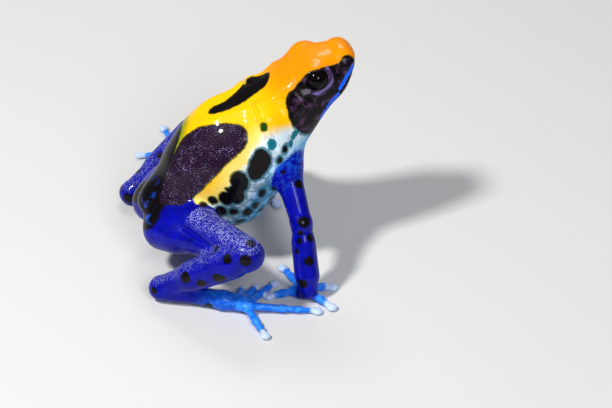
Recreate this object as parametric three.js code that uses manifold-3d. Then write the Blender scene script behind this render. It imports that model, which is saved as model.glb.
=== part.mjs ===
// A dyeing poison dart frog with blue legs, life size, sitting still with its head raised.
// Millimetres. +X is the way the frog faces, +Y its left, +Z up, and the floor is z = 0.
// The body is one soft shape made of rounded forms that melt into each other. Each named
// piece is a net of points pushed outwards from a line inside it until they lie on that shape.
import * as THREE from "three";
import { mergeVertices } from "three/addons/utils/BufferGeometryUtils.js";
import Module from "manifold-3d";

const wasm = await Module();
wasm.setup();

// Driving dimensions
const snoutVent = 45; // snout to vent
const bodyPitch = 30; // degrees that the body axis rises above the floor
const ventPoint = [-3, 0, 11]; // rear end of the body axis
const gap = 0.3; // clearance between pieces that meet
const slivers = [0.02, 0.015, 0.01, 0.007, 0.005, 0.003, 0.002, 0.001]; // edges shorter than this are closed up
const thighLength = 0.411 * snoutVent;
const shankLength = 0.407 * snoutVent;
const ankleLength = 0.24 * snoutVent;
const midfootLength = 0.104 * snoutVent;
const upperArmLength = 0.267 * snoutVent;
const forearmLength = 0.256 * snoutVent;
const eyeRadius = 0.0445 * snoutVent;
const eyeGap = 0.2; // clearance round an eye

// Body profile in the body's own frame: along is the distance from the vent, up is across it.
// Each row: along, top, bottom, half width, level of the greatest width.
const bodyProfile = [
  [0, 2.4, -4.6, 3.4, -0.6],
  [5, 3.2, -8.4, 4.7, -1.9],
  [9, 5.7, -11.3, 6.7, -2.7],
  [14, 8.0, -13.2, 8.8, -3.0],
  [19, 8.9, -11.9, 9.2, -2.0],
  [24, 8.1, -9.3, 8.5, -0.8],
  [29, 7.5, -6.0, 7.3, 0.6],
  [33, 8.2, -3.5, 6.8, 1.3],
  [37, 8.3, -1.4, 5.8, 1.6],
  [39.5, 7.7, -0.9, 5.2, 1.8],
  [42, 6.75, -0.5, 4.3, 2.0],
];
const rearCap = { from: 6, length: 6.4 };
const snoutCap = { from: 41.8, length: 3.5, recess: 0.8, below: 4.2 };
const neckAlong = 31; // where head and torso part

// Places on the head in the body's frame: along, to the side, up
const eyePlace = [37.53, 4.15, 5.55];
const eyeAim = [0.08, 0.9, 0.36]; // the way an eye looks
const nostrilPlace = [42.6, 1.4, 3.6]; // inside the snout, behind the nostril
const nostrilAim = [0.5, 0.75, 0.3];
const mouthLevel = 0; // at the corners of the mouth
const mouthRise = 16.7; // degrees that the mouth line rises forwards in the body's frame
const mouthCornerAlong = 35.4;
const mouthDepth = 0.7;
const mouthWidth = 0.3;

// Limb roots in the part's frame, for the right side; the left mirrors them
const hipJoint = [3.3, 4.0, 10.5];
const shoulderJoint = [20.6, 5.9, 21.2];

// Pose of each limb: azimuth (0 forward, positive outwards) and elevation in degrees
const pose = {
  right: {
    thigh: [66.6, 6.2],
    shank: [-147.9, -33.9],
    ankle: [27.5, -4.0],
    midfoot: [25, -3.0],
    toes: [-66, -52, -42, 15.5, 80],
    upperArm: [82, -46],
    forearm: [88, -66],
    fingers: [180, -101, -4, 55.6],
  },
  left: {
    thigh: [57.1, 8.7],
    shank: [-172, -38.8],
    ankle: [34, -4.0],
    midfoot: [50, -3.0],
    toes: [-2, 24, 56, 95, 152],
    upperArm: [80, -46],
    forearm: [86, -66],
    fingers: [200, -75, 5, 65],
  },
};

// Digits: length and disc half width, inner to outer
const toeSizes = [
  [4.6, 0.62],
  [6.2, 0.7],
  [9.1, 0.85],
  [12.3, 0.9],
  [8.2, 0.85],
];
const fingerSizes = [
  [5.6, 0.78],
  [7.6, 0.95],
  [5.2, 1.05],
  [6.4, 0.98],
];
const digitRadius = 0.62;
const digitHeight = 0.46; // of a digit's centre line at its disc, so that it rests on a flat

const colours = {
  back: "#f6b20a",
  head: "#f79a06",
  leg: "#1428d2",
  foot: "#3f8df0",
  eye: "#0a0608",
};

// Small helpers
const vec = (p) => new THREE.Vector3(...p);
const radians = THREE.MathUtils.degToRad;
const cosPitch = Math.cos(radians(bodyPitch));
const sinPitch = Math.sin(radians(bodyPitch));

// A point of the body's frame, along, side and up, in the part's frame
function fromBody([along, side, up]) {
  return new THREE.Vector3(
    ventPoint[0] + along * cosPitch - up * sinPitch,
    side,
    ventPoint[2] + along * sinPitch + up * cosPitch,
  );
}

function direction([azimuth, elevation], side) {
  const flat = Math.cos(radians(elevation));
  return new THREE.Vector3(
    flat * Math.cos(radians(azimuth)),
    flat * Math.sin(radians(azimuth)) * side,
    Math.sin(radians(elevation)),
  );
}

const step = (from, aim, length) => from.clone().addScaledVector(aim, length);

// Soft forms: each is a function of a point that gives its distance, negative inside
function softMin(a, b, reach) {
  const h = Math.max(reach - Math.abs(a - b), 0) / reach;
  return Math.min(a, b) - (h * h * reach) / 4;
}

const melt = (forms, reach) => (p) => {
  let d = forms[0](p);
  for (let i = 1; i < forms.length; i++) d = softMin(d, forms[i](p), reach);
  return d;
};

// A cone with round ends, from a ball of radius ra at a to one of radius rb at b
function roundCone(a, b, ra, rb) {
  const axis = b.clone().sub(a);
  const length2 = axis.lengthSq();
  const taper = ra - rb;
  const slant2 = length2 - taper * taper;
  const pa = new THREE.Vector3();
  const across = new THREE.Vector3();
  return (p) => {
    pa.subVectors(p, a);
    const y = pa.dot(axis);
    const z = y - length2;
    const x2 = across.copy(pa).multiplyScalar(length2).addScaledVector(axis, -y).lengthSq();
    const y2 = y * y * length2;
    const z2 = z * z * length2;
    const k = Math.sign(taper) * taper * taper * x2;
    if (Math.sign(z) * slant2 * z2 > k) return Math.sqrt(x2 + z2) / length2 - rb;
    if (Math.sign(y) * slant2 * y2 < k) return Math.sqrt(x2 + y2) / length2 - ra;
    return (Math.sqrt((x2 * slant2) / length2) + y * taper) / length2 - ra;
  };
}

// A ball squeezed to three half sizes, turned about Z by an azimuth
function egg(centre, [rx, ry, rz], azimuth = 0) {
  const c = Math.cos(azimuth);
  const s = Math.sin(azimuth);
  return (p) => {
    const dx = p.x - centre.x;
    const dy = p.y - centre.y;
    const x = dx * c + dy * s;
    const y = dy * c - dx * s;
    const z = p.z - centre.z;
    const k0 = Math.hypot(x / rx, y / ry, z / rz);
    const k1 = Math.hypot(x / (rx * rx), y / (ry * ry), z / (rz * rz));
    return k1 < 1e-9 ? -Math.min(rx, ry, rz) : (k0 * (k0 - 1)) / k1;
  };
}

// Smooth value of one column of the profile at a distance along the body
function profileAt(along, column) {
  const rows = bodyProfile;
  const last = rows.length - 1;
  const a = THREE.MathUtils.clamp(along, rows[0][0], rows[last][0]);
  let i = 0;
  while (i < last - 1 && a > rows[i + 1][0]) i++;
  const [p, q] = [rows[i], rows[i + 1]];
  const before = rows[Math.max(i - 1, 0)];
  const after = rows[Math.min(i + 2, last)];
  const width = q[0] - p[0];
  const m0 = ((q[column] - before[column]) / (q[0] - before[0])) * width;
  const m1 = ((after[column] - p[column]) / (after[0] - p[0])) * width;
  const t = (a - p[0]) / width;
  const t2 = t * t;
  const t3 = t2 * t;
  return (
    (2 * t3 - 3 * t2 + 1) * p[column] +
    (t3 - 2 * t2 + t) * m0 +
    (3 * t2 - 2 * t3) * q[column] +
    (t3 - t2) * m1
  );
}

const roundness = { above: 2.3, head: 3.0, below: 2.15, rear: 2.4, front: 3.0 };

// Head and torso as one form: rounded sections whose sizes follow the profile, closed at both ends
function bodyForm(p) {
  const dx = p.x - ventPoint[0];
  const dz = p.z - ventPoint[2];
  const along = dx * cosPitch + dz * sinPitch;
  const up = dz * cosPitch - dx * sinPitch;
  const level = profileAt(along, 4);
  const above = up > level;
  const height = above ? profileAt(along, 1) - level : level - profileAt(along, 2);
  const width = profileAt(along, 3);
  const upper = THREE.MathUtils.lerp(roundness.above, roundness.head, THREE.MathUtils.smoothstep(along, 30, 38));
  const power = above ? upper : roundness.below;
  const section = (Math.abs(p.y / width) ** power + Math.abs((up - level) / height) ** power) ** (1 / power);
  const rear = Math.max(0, (rearCap.from - along) / rearCap.length);
  const setBack = snoutCap.recess * Math.max(0, snoutCap.below - up);
  const front = Math.max(0, (along + setBack - snoutCap.from) / snoutCap.length);
  const ends = along < 20 ? roundness.rear : roundness.front;
  const whole = (section ** ends + (rear + front) ** ends) ** (1 / ends);
  return (whole - 1) * Math.min(width, height, 6);
}

// One side's joints and forms. side is -1 on the right and 1 on the left.
function limbForms(name, side) {
  const turn = pose[name];
  const hip = vec(hipJoint).multiply(new THREE.Vector3(1, side, 1));
  const thighAim = direction(turn.thigh, side);
  const knee = step(hip, thighAim, thighLength);
  const shankAim = direction(turn.shank, side);
  const heel = step(knee, shankAim, shankLength);
  const ankleAim = direction(turn.ankle, side);
  const ankle = step(heel, ankleAim, ankleLength);
  const midfootAim = direction(turn.midfoot, side);
  const ball = step(ankle, midfootAim, midfootLength);
  const shoulder = vec(shoulderJoint).multiply(new THREE.Vector3(1, side, 1));
  const upperArmAim = direction(turn.upperArm, side);
  const elbow = step(shoulder, upperArmAim, upperArmLength);
  const forearmAim = direction(turn.forearm, side);
  const wrist = step(elbow, forearmAim, forearmLength);
  // the muscle behind the thigh hangs below and behind its bone
  const behind = new THREE.Vector3(-0.82, 0.05 * side, -0.57);
  const along = (a, b, share, shift, by) => a.clone().lerp(b, share).addScaledVector(shift, by);
  const thigh = melt(
    [
      roundCone(hip, knee, 3.5, 2.85),
      roundCone(along(hip, knee, 0.02, behind, 3.8), along(hip, knee, 0.8, behind, 1.5), 3.3, 1.7),
    ],
    0.7,
  );
  const shank = melt(
    [
      roundCone(knee, heel, 2.85, 1.95),
      roundCone(along(knee, heel, 0.18, behind, 0.2), along(knee, heel, 0.62, behind, 0.1), 2.9, 2.5),
    ],
    1.2,
  );
  const ankleForm = melt(
    [roundCone(heel, ankle, 1.8, 1.45), roundCone(heel, along(heel, ankle, 0.3, behind, 0), 1.95, 1.6)],
    1,
  );
  const upperArm = roundCone(shoulder, elbow, 2.5, 1.75);
  const forearm = melt(
    [
      roundCone(elbow, wrist, 1.8, 1.45),
      roundCone(along(elbow, wrist, 0.3, behind, 0), along(elbow, wrist, 0.78, behind, 0), 1.9, 2.1),
    ],
    1,
  );
  return {
    side, behind, hip, knee, heel, ankle, ball, shoulder, elbow, wrist,
    thighAim, shankAim, ankleAim, midfootAim, upperArmAim, forearmAim,
    thigh, shank, ankleForm, upperArm, forearm,
  };
}

const sides = { right: limbForms("right", -1), left: limbForms("left", 1) };

// Net of points round a line: each point runs outwards until it meets the form's surface.
// line holds the centres, round the number of points in a ring, cap the rings of each round end.
function wrap(form, line, round, cap, upright = new THREE.Vector3(0, 0, 1)) {
  const rays = [];
  const last = line.length - 1;
  const frameAt = (i) => {
    const forward = line[Math.min(i + 1, last)].clone().sub(line[Math.max(i - 1, 0)]).normalize();
    const sideways = new THREE.Vector3().crossVectors(upright, forward).normalize();
    return [forward, sideways, new THREE.Vector3().crossVectors(forward, sideways)];
  };
  const ring = (i, tilt) => {
    const [forward, sideways, upwards] = frameAt(i);
    return Array.from({ length: round }, (_, j) => {
      const turn = (2 * Math.PI * j) / round;
      return {
        from: line[i],
        aim: new THREE.Vector3()
          .addScaledVector(sideways, Math.cos(turn) * Math.cos(tilt))
          .addScaledVector(upwards, Math.sin(turn) * Math.cos(tilt))
          .addScaledVector(forward, Math.sin(tilt)),
      };
    });
  };
  const tilts = Array.from({ length: cap }, (_, i) => (Math.PI / 2) * ((i + 1) / (cap + 1)));
  rays.push([{ from: line[0], aim: frameAt(0)[0].negate() }]);
  for (const tilt of [...tilts].reverse()) rays.push(ring(0, -tilt));
  for (let i = 0; i <= last; i++) rays.push(ring(i, 0));
  for (const tilt of tilts) rays.push(ring(last, tilt));
  rays.push([{ from: line[last], aim: frameAt(last)[0] }]);
  const points = [];
  const rows = rays.map((row) =>
    row.map(({ from, aim }) => {
      points.push(meet(form, from, aim));
      return points.length - 1;
    }),
  );
  const faces = [];
  for (let i = 0; i + 1 < rows.length; i++) {
    const [a, b] = [rows[i], rows[i + 1]];
    for (let j = 0; j < round; j++) {
      const k = (j + 1) % round;
      if (a.length > 1) faces.push(a[j], a[k], b[Math.min(k, b.length - 1)]);
      if (b.length > 1) faces.push(a[Math.min(j, a.length - 1)], b[k], b[j]);
    }
  }
  const geometry = new THREE.BufferGeometry();
  geometry.setAttribute("position", new THREE.Float32BufferAttribute(points.flatMap((p) => p.toArray()), 3));
  geometry.setIndex(faces);
  return geometry;
}

// The first point at which a ray leaves the form
function meet(form, from, aim) {
  const stride = 0.25;
  const at = (r) => form(step(from, aim, r));
  let outer = stride;
  while (at(outer) < 0 && outer < 40) outer += stride;
  let inner = outer - stride;
  for (let i = 0; i < 18; i++) {
    const middle = (inner + outer) / 2;
    if (at(middle) < 0) inner = middle;
    else outer = middle;
  }
  return step(from, aim, inner);
}

// Points along a bent line at an even spacing
function path(corners, count) {
  if (corners.length === 2)
    return Array.from({ length: count }, (_, i) => corners[0].clone().lerp(corners[1], i / (count - 1)));
  return new THREE.CatmullRomCurve3(corners, false, "centripetal").getSpacedPoints(count - 1);
}

function solid(geometry) {
  const bare = geometry.clone();
  bare.deleteAttribute("normal");
  bare.deleteAttribute("uv");
  const merged = mergeVertices(bare, 1e-4);
  return new wasm.Manifold(
    new wasm.Mesh({
      numProp: 3,
      vertProperties: new Float32Array(merged.attributes.position.array),
      triVerts: new Uint32Array(merged.index.array),
    }),
  );
}

const largest = (s) => s.decompose().sort((a, b) => b.volume() - a.volume())[0];

// Keeps the part of a solid on the side of the plane that its normal points to
const keepBeyond = (s, point, normal, shift) => s.trimByPlane(normal.toArray(), point.dot(normal) + shift);

const frog = new THREE.Group();
const made = {};

// Merges points closer than a tolerance and drops the faces that this flattens
function closeUp(whole, tolerance) {
  const geometry = mergeVertices(whole, tolerance);
  const faces = [];
  const index = geometry.index.array;
  for (let i = 0; i < index.length; i += 3) {
    const [a, b, c] = index.slice(i, i + 3);
    if (a !== b && b !== c && c !== a) faces.push(a, b, c);
  }
  geometry.setIndex(faces);
  return geometry;
}

// Whether each edge is walked once each way, as on a closed body
function isClosed(geometry) {
  const walked = new Map();
  const index = geometry.index.array;
  for (let i = 0; i < index.length; i++) {
    const from = index[i];
    const to = index[i % 3 === 2 ? i - 2 : i + 1];
    const edge = from * 1e6 + to;
    if (walked.has(edge)) return false;
    walked.set(edge, true);
  }
  return [...walked.keys()].every((edge) => walked.has((edge % 1e6) * 1e6 + Math.floor(edge / 1e6)));
}

// Puts a finished solid in the group, without the slivers that the cuts leave along their edges
function add(name, shape, colour) {
  const { vertProperties, triVerts } = largest(shape).getMesh();
  const whole = new THREE.BufferGeometry();
  whole.setAttribute("position", new THREE.BufferAttribute(vertProperties, 3));
  whole.setIndex(new THREE.BufferAttribute(triVerts, 1));
  const geometry = slivers.map((tolerance) => closeUp(whole, tolerance)).find(isClosed);
  geometry.computeVertexNormals();
  const skin = new THREE.MeshStandardMaterial({ color: colour, roughness: 0.35, metalness: 0 });
  const mesh = new THREE.Mesh(geometry, skin);
  mesh.name = name;
  frog.add(mesh);
  made[name] = shape;
}

// The cut between two lengths of a limb: the plane halfway between the way in and the way out
const foldNormal = (into, outOf) => into.clone().negate().sub(outOf).normalize();

const hipCut = 4.2; // how far out from the joint the thigh starts
const shoulderCut = 2.6;
const hipReach = 2.6; // how widely a limb's root melts into the body
const shoulderReach = 2.2;

// A limb piece beside the body: melted into it, but only where the limb is the nearer form
function rooted(limb, reach, swell) {
  return (p) => {
    const l = limb(p);
    const b = bodyForm(p);
    return Math.max(softMin(l, b, reach), (l - b) / 2 + gap / 2) - swell;
  };
}

function hindLeg(name) {
  const s = sides[name];
  const kneeFold = foldNormal(s.thighAim, s.shankAim);
  const heelFold = foldNormal(s.shankAim, s.ankleAim);
  const thighSolid = (swell) => {
    const raw = solid(wrap(rooted(s.thigh, hipReach, swell), path([step(s.hip, s.thighAim, 3), s.knee], 11), 14, 3));
    return keepBeyond(raw, step(s.hip, s.thighAim, hipCut - swell), s.thighAim, 0);
  };
  const kneeCut = s.knee.clone();
  add(`thigh_${name}`, keepBeyond(thighSolid(0), kneeCut, kneeFold, gap / 2), colours.leg);
  made[`thigh_${name}_room`] = thighSolid(gap);
  const shankSolid = solid(wrap(s.shank, path([s.knee, s.heel], 12), 14, 3));
  const shankCut = keepBeyond(shankSolid, kneeCut, kneeFold.clone().negate(), gap / 2);
  add(`shank_${name}`, keepBeyond(shankCut, s.heel, heelFold, gap / 2), colours.leg);
  const ankleSolid = solid(wrap(s.ankleForm, path([s.heel, s.ankle], 9), 12, 3));
  const ankleOpen = keepBeyond(ankleSolid, s.heel, heelFold.clone().negate(), gap / 2);
  const ankleEnd = keepBeyond(ankleOpen, s.ankle, s.ankleAim.clone().negate(), gap / 2);
  add(`ankle_${name}`, ankleEnd.trimByPlane([0, 0, 1], 0), colours.leg);
  const midfoot = solid(wrap(midfootForm(s), path([step(s.ankle, s.ankleAim, -0.8), s.ball], 5), 12, 2));
  const toes = toeSizes.map(([length, disc], i) => digit(s, toeRoot(s, i), pose[name].toes[i], length, disc));
  const foot = toes.reduce((all, toe) => all.add(toe), midfoot);
  const footCut = keepBeyond(foot, s.ankle, s.ankleAim, gap / 2);
  add(`foot_${name}`, footCut.trimByPlane([0, 0, 1], 0), colours.foot);
}

// The sole ahead of the ankle, wider than it is tall
function midfootForm(s) {
  const across = new THREE.Vector3(-s.midfootAim.y, s.midfootAim.x, 0).normalize();
  return melt(
    [-1, 0, 1].map((k) => roundCone(s.ankle, step(s.ball, across, 0.9 * k), 1.4, 0.85)),
    0.8,
  );
}

const toeSpread = [-1.3, -0.9, -0.3, 0.4, 1.1];
const toeSetBack = [2.4, 1.5, 0.6, 0, 0.3];

function toeRoot(s, i) {
  const across = new THREE.Vector3(-s.midfootAim.y, s.midfootAim.x, 0).normalize();
  return step(step(s.ball, across, toeSpread[i] * s.side), s.midfootAim, -toeSetBack[i]);
}

// A toe or finger: a low arch from its root to a flat disc on the floor
function digit(s, root, azimuth, length, disc) {
  const aim = direction([azimuth, 0], s.side);
  const start = root.clone().setZ(Math.max(root.z, 0.75));
  const tip = step(root, aim, length - disc).setZ(digitHeight);
  const arch = step(root, aim, length * 0.45).setZ(0.85);
  const turn = Math.atan2(aim.y, aim.x);
  const form = melt(
    [
      roundCone(start, arch, digitRadius * 1.15, digitRadius),
      roundCone(arch, tip, digitRadius, digitRadius * 0.85),
      egg(tip, [disc, disc, 0.52], turn),
    ],
    0.3,
  );
  return solid(wrap(form, path([start, arch, tip], 7), 8, 2));
}

function arm(name) {
  const s = sides[name];
  const elbowPlane = s.upperArmAim.clone().add(s.forearmAim).normalize();
  const upperArmSolid = (swell) => {
    const form = rooted(s.upperArm, shoulderReach, swell);
    const raw = solid(wrap(form, path([step(s.shoulder, s.upperArmAim, 1.6), s.elbow], 8), 12, 3));
    return keepBeyond(raw, step(s.shoulder, s.upperArmAim, shoulderCut - swell), s.upperArmAim, 0);
  };
  const upper = keepBeyond(upperArmSolid(0), s.elbow, elbowPlane.clone().negate(), gap / 2);
  add(`upper_arm_${name}`, upper, colours.leg);
  made[`upper_arm_${name}_room`] = upperArmSolid(gap);
  const lower = solid(wrap(s.forearm, path([s.elbow, s.wrist], 9), 12, 3));
  const lowerOpen = keepBeyond(lower, s.elbow, elbowPlane, gap / 2);
  add(`forearm_${name}`, keepBeyond(lowerOpen, s.wrist, s.forearmAim.clone().negate(), gap / 2), colours.leg);
  const palmCentre = s.wrist.clone().add(new THREE.Vector3(-0.6, -1.6 * s.side, 0)).setZ(0.95);
  const palm = melt([roundCone(s.wrist, palmCentre, 1.45, 1.15), egg(palmCentre, [2.3, 2.0, 1.05])], 1);
  const palmSolid = solid(wrap(palm, path([step(s.wrist, s.forearmAim, -0.7), palmCentre], 4), 12, 3, new THREE.Vector3(1, 0, 0)));
  const fingers = fingerSizes.map(([length, disc], i) => {
    const aim = direction([pose[name].fingers[i], 0], s.side);
    return digit(s, step(palmCentre, aim, 1.1), pose[name].fingers[i], length, disc);
  });
  const palmCut = keepBeyond(palmSolid, s.wrist, s.forearmAim, gap / 2);
  const hand = fingers.reduce((all, finger) => all.add(finger), palmCut);
  add(`hand_${name}`, hand.trimByPlane([0, 0, 1], 0), colours.foot);
}

for (const name of ["right", "left"]) {
  hindLeg(name);
  arm(name);
}

// Head and torso, with a short root for each limb
function trunkForm() {
  const roots = Object.values(sides).flatMap((s) => [
    roundCone(s.hip, step(s.hip, s.thighAim, 3.4), 3.8, 3.6),
    roundCone(step(s.hip, s.behind, 3.8), step(step(s.hip, s.behind, 3.4), s.thighAim, 3.4), 3.4, 3.2),
    roundCone(s.shoulder, step(s.shoulder, s.upperArmAim, 1.4), 2.6, 2.45),
  ]);
  const blades = Object.values(sides).map((s) => {
    const top = fromBody([26.6, 4.9 * s.side, 4.3]);
    return roundCone(top, fromBody([25.0, 6.6 * s.side, 0.5]), 2.2, 2.2);
  });
  const lids = Object.values(sides).map((s) => {
    const [along, side, up] = eyePlace;
    return egg(fromBody([along - 0.1, (side - 0.4) * s.side, up + 0.12]), [2.65, 2.2, 2.25]);
  });
  return (p) => {
    let d = bodyForm(p);
    for (const root of roots) d = softMin(d, root(p), hipReach);
    for (const blade of blades) d = softMin(d, blade(p), 2);
    for (const lid of lids) d = softMin(d, lid(p), 1.0);
    return d;
  };
}

const trunk = trunkForm();
const bodyAxis = new THREE.Vector3(cosPitch, 0, sinPitch);
const centreAt = (along) => fromBody([along, 0, profileAt(along, 4) + 0.4]);

function trunkPiece(from, to, count, round) {
  const line = Array.from({ length: count }, (_, i) => centreAt(from + ((to - from) * i) / (count - 1)));
  return solid(wrap(trunk, line, round, 5));
}

const neck = centreAt(neckAlong);
const room = (names) => names.map((n) => made[`${n}_room`]);
const limbRooms = room(["thigh_right", "thigh_left", "upper_arm_right", "upper_arm_left"]);
const torso = keepBeyond(trunkPiece(4.5, 37, 27, 34), neck, bodyAxis.clone().negate(), gap / 2);
add("torso", limbRooms.reduce((t, r) => t.subtract(r), torso), colours.back);

// Head details: sockets, lids, mouth line, nostrils and eardrums
function ballAt(centre, radius, round = 20, rings = 14) {
  const ball = new THREE.SphereGeometry(radius, round, rings);
  ball.translate(centre.x, centre.y, centre.z);
  return solid(ball);
}

const bodyTurn = new THREE.Quaternion().setFromAxisAngle(new THREE.Vector3(0, 1, 0), -radians(bodyPitch));

// A direction of the body's frame, mirrored for the right side, in the part's frame
const bodyAim = ([along, out, up], side) =>
  new THREE.Vector3(along, out * side, up).normalize().applyQuaternion(bodyTurn);

// A short rod that points out of the head along an aim
function rodAt(centre, aim, radiusIn, radiusOut, length) {
  const rod = new THREE.CylinderGeometry(radiusOut, radiusIn, length, 14);
  rod.applyQuaternion(new THREE.Quaternion().setFromUnitVectors(new THREE.Vector3(0, 1, 0), aim));
  rod.translate(centre.x, centre.y, centre.z);
  return solid(rod);
}

// The slit between the lips: a thin blade round the snout, seen from above as a horseshoe
function mouthSlit() {
  const middle = fromBody([mouthCornerAlong, 0, mouthLevel]);
  const rise = radians(mouthRise);
  const steps = 30;
  const outline = (inset) =>
    Array.from({ length: steps + 1 }, (_, i) => {
      const turn = Math.PI * (i / steps - 0.5);
      const ahead = Math.cos(turn);
      const aim = bodyAim([ahead * Math.cos(rise), Math.sin(turn), ahead * Math.sin(rise)], 1);
      const reach = meet(trunk, middle, aim).distanceTo(middle) - inset(ahead);
      return new THREE.Vector2(reach * ahead, reach * Math.sin(turn));
    });
  const outer = outline(() => -1);
  const inner = outline((fore) => 0.15 + (mouthDepth - 0.15) * Math.sqrt(Math.max(0, fore)));
  const blade = new THREE.ExtrudeGeometry(new THREE.Shape([...outer, ...inner.reverse()]), {
    depth: mouthWidth,
    bevelEnabled: false,
  });
  blade.translate(0, 0, -mouthWidth / 2);
  blade.rotateY(-radians(bodyPitch) - rise);
  blade.translate(middle.x, middle.y, middle.z);
  return solid(blade);
}

let head = keepBeyond(trunkPiece(28.5, 41.6, 19, 34), neck, bodyAxis, gap / 2);
for (const s of Object.values(sides)) {
  const [along, side, up] = eyePlace;
  const eyeCentre = fromBody([along, side * s.side, up]);
  head = head.subtract(ballAt(eyeCentre, eyeRadius + eyeGap));
  const lookOut = bodyAim(eyeAim, s.side);
  head = head.subtract(rodAt(step(eyeCentre, lookOut, 2.1), lookOut, 1.8, 1.9, 3.6));
  const nostrilOut = bodyAim(nostrilAim, s.side);
  const nostril = meet(trunk, fromBody([nostrilPlace[0], nostrilPlace[1] * s.side, nostrilPlace[2]]), nostrilOut);
  head = head.subtract(rodAt(nostril, nostrilOut, 0.2, 0.42, 1.0));
  add(`eye_${s.side < 0 ? "right" : "left"}`, ballAt(eyeCentre, eyeRadius), colours.eye);
}
add("head", head.subtract(mouthSlit()), colours.head);

// The origin is the middle of the frog's footprint on the floor
const box = new THREE.Box3().setFromObject(frog);
frog.position.set(-(box.min.x + box.max.x) / 2, -(box.min.y + box.max.y) / 2, -box.min.z);

export default frog;
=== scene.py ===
# %% [markdown]
# # A still model of a dyeing poison dart frog
# The frog sits with its head raised, its forelegs straight and its hind legs folded.
# The CAD solids give its size and pose. Here one moist skin is drawn over all of them,
# two wet eyes are set into it, and the skin gets its yellow, black and blue markings.
# Everything is worked out in millimetres first and turned into metres at the end.

# %% The CAD solids and their box
import math
import time

import bpy
import numpy as np
from mathutils import Matrix, Vector


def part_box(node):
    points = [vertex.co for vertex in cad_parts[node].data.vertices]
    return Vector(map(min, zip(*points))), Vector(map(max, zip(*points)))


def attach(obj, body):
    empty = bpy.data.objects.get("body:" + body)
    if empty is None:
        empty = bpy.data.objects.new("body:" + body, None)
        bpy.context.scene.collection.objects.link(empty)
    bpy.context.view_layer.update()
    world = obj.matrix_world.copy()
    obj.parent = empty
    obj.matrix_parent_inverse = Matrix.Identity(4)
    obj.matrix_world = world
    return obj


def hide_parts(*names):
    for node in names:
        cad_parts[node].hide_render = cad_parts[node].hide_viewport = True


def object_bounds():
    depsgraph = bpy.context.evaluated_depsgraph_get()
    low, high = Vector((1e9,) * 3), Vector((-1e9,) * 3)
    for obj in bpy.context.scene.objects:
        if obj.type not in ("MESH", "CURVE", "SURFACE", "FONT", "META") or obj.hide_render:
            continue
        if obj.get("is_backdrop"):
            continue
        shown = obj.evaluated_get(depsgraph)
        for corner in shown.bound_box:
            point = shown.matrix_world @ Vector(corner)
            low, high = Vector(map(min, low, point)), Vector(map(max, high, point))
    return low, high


started = time.time()
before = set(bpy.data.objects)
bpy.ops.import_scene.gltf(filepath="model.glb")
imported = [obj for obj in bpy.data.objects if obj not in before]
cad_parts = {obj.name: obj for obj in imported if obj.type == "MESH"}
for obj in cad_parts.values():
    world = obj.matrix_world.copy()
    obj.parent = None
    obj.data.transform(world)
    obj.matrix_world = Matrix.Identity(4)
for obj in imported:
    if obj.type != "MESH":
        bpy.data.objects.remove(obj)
cad_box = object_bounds()
flesh_nodes = ["head", "torso"] + [
    f"{part}_{side}" for side in ("right", "left")
    for part in ("upper_arm", "forearm", "hand", "thigh", "shank", "ankle", "foot")
]
node_boxes = np.array([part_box(name) for name in flesh_nodes])
print("CAD box in metres:", [round(v, 4) for corner in cad_box for v in corner])

# %% [markdown]
# ## Where things are on a frog
# A frog's body has its own axis, from vent to snout, which here rises 30 degrees from the floor.
# It is easiest to say where an eye or a patch is along that axis, to the side of it and up from it.
# So this cell holds the body's frame, and finds how the frog's own millimetres lie in the CAD frame
# from the one thing both know, the middle of the right eye.

# %% The body's frame
vent = np.array([-3.0, 0.0, 11.0])
pitch = math.radians(30)
along_axis = np.array([math.cos(pitch), 0, math.sin(pitch)])
up_axis = np.array([-math.sin(pitch), 0, math.cos(pitch)])
snout_vent = 45.0
eye_place = (37.53, 4.15, 5.55)
eye_radius = 0.0445 * snout_vent


def from_body(along, side, up):
    """A place of the body's frame in the frog's millimetres; side is positive on the left."""
    return vent + along * along_axis + np.array([0, side, 0]) + up * up_axis


def to_body(points):
    """Along, side and up of many points."""
    offset = points - vent
    return offset @ along_axis, offset[:, 1], offset @ up_axis


def node_centre(name):
    low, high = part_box(name)
    return (np.array(low) + np.array(high)) * 500


shift = from_body(eye_place[0], -eye_place[1], eye_place[2]) - node_centre("eye_right")
print("the frog's millimetres are moved by", shift.round(2))

# %% [markdown]
# ## Soft forms
# Flesh has no hard edges: a thigh swells out of the hip and a toe out of the foot.
# Metaballs or sculpting could give that. Here each muscle is a rounded cone or an egg, given as a
# function that says how far a point is from its surface. Two of them melt into each other
# where their distances are nearly the same, which leaves a crease as soft as it is told to be.

# %% Cones, eggs and melting
class Form:
    """A soft solid: the distance of points from its surface, negative inside, and its box."""

    def __init__(self, distance, low, high):
        self.distance = distance
        self.low = np.minimum(low, high)
        self.high = np.maximum(low, high)


def soft_min(a, b, reach):
    """The lesser of two distances, rounded off where they differ by less than reach."""
    overlap = np.maximum(reach - np.abs(a - b), 0) / reach
    return np.minimum(a, b) - overlap * overlap * reach / 4


def cone(start, end, start_radius, end_radius):
    """A cone with round ends."""
    axis = end - start
    length = np.linalg.norm(axis)
    axis = axis / length
    slope = (start_radius - end_radius) / length
    flat = math.sqrt(1 - slope * slope)

    def distance(p):
        rel = p - start
        y = rel @ axis
        x = np.sqrt(np.maximum(np.einsum("ij,ij->i", rel, rel) - y * y, 0))
        k = flat * y - slope * x
        ball = np.where(k < 0, np.hypot(x, y) - start_radius, np.hypot(x, y - length) - end_radius)
        return np.where((k < 0) | (k > flat * length), ball, flat * x + slope * y - start_radius)

    widest = max(start_radius, end_radius)
    return Form(distance, np.minimum(start, end) - widest, np.maximum(start, end) + widest)


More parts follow.
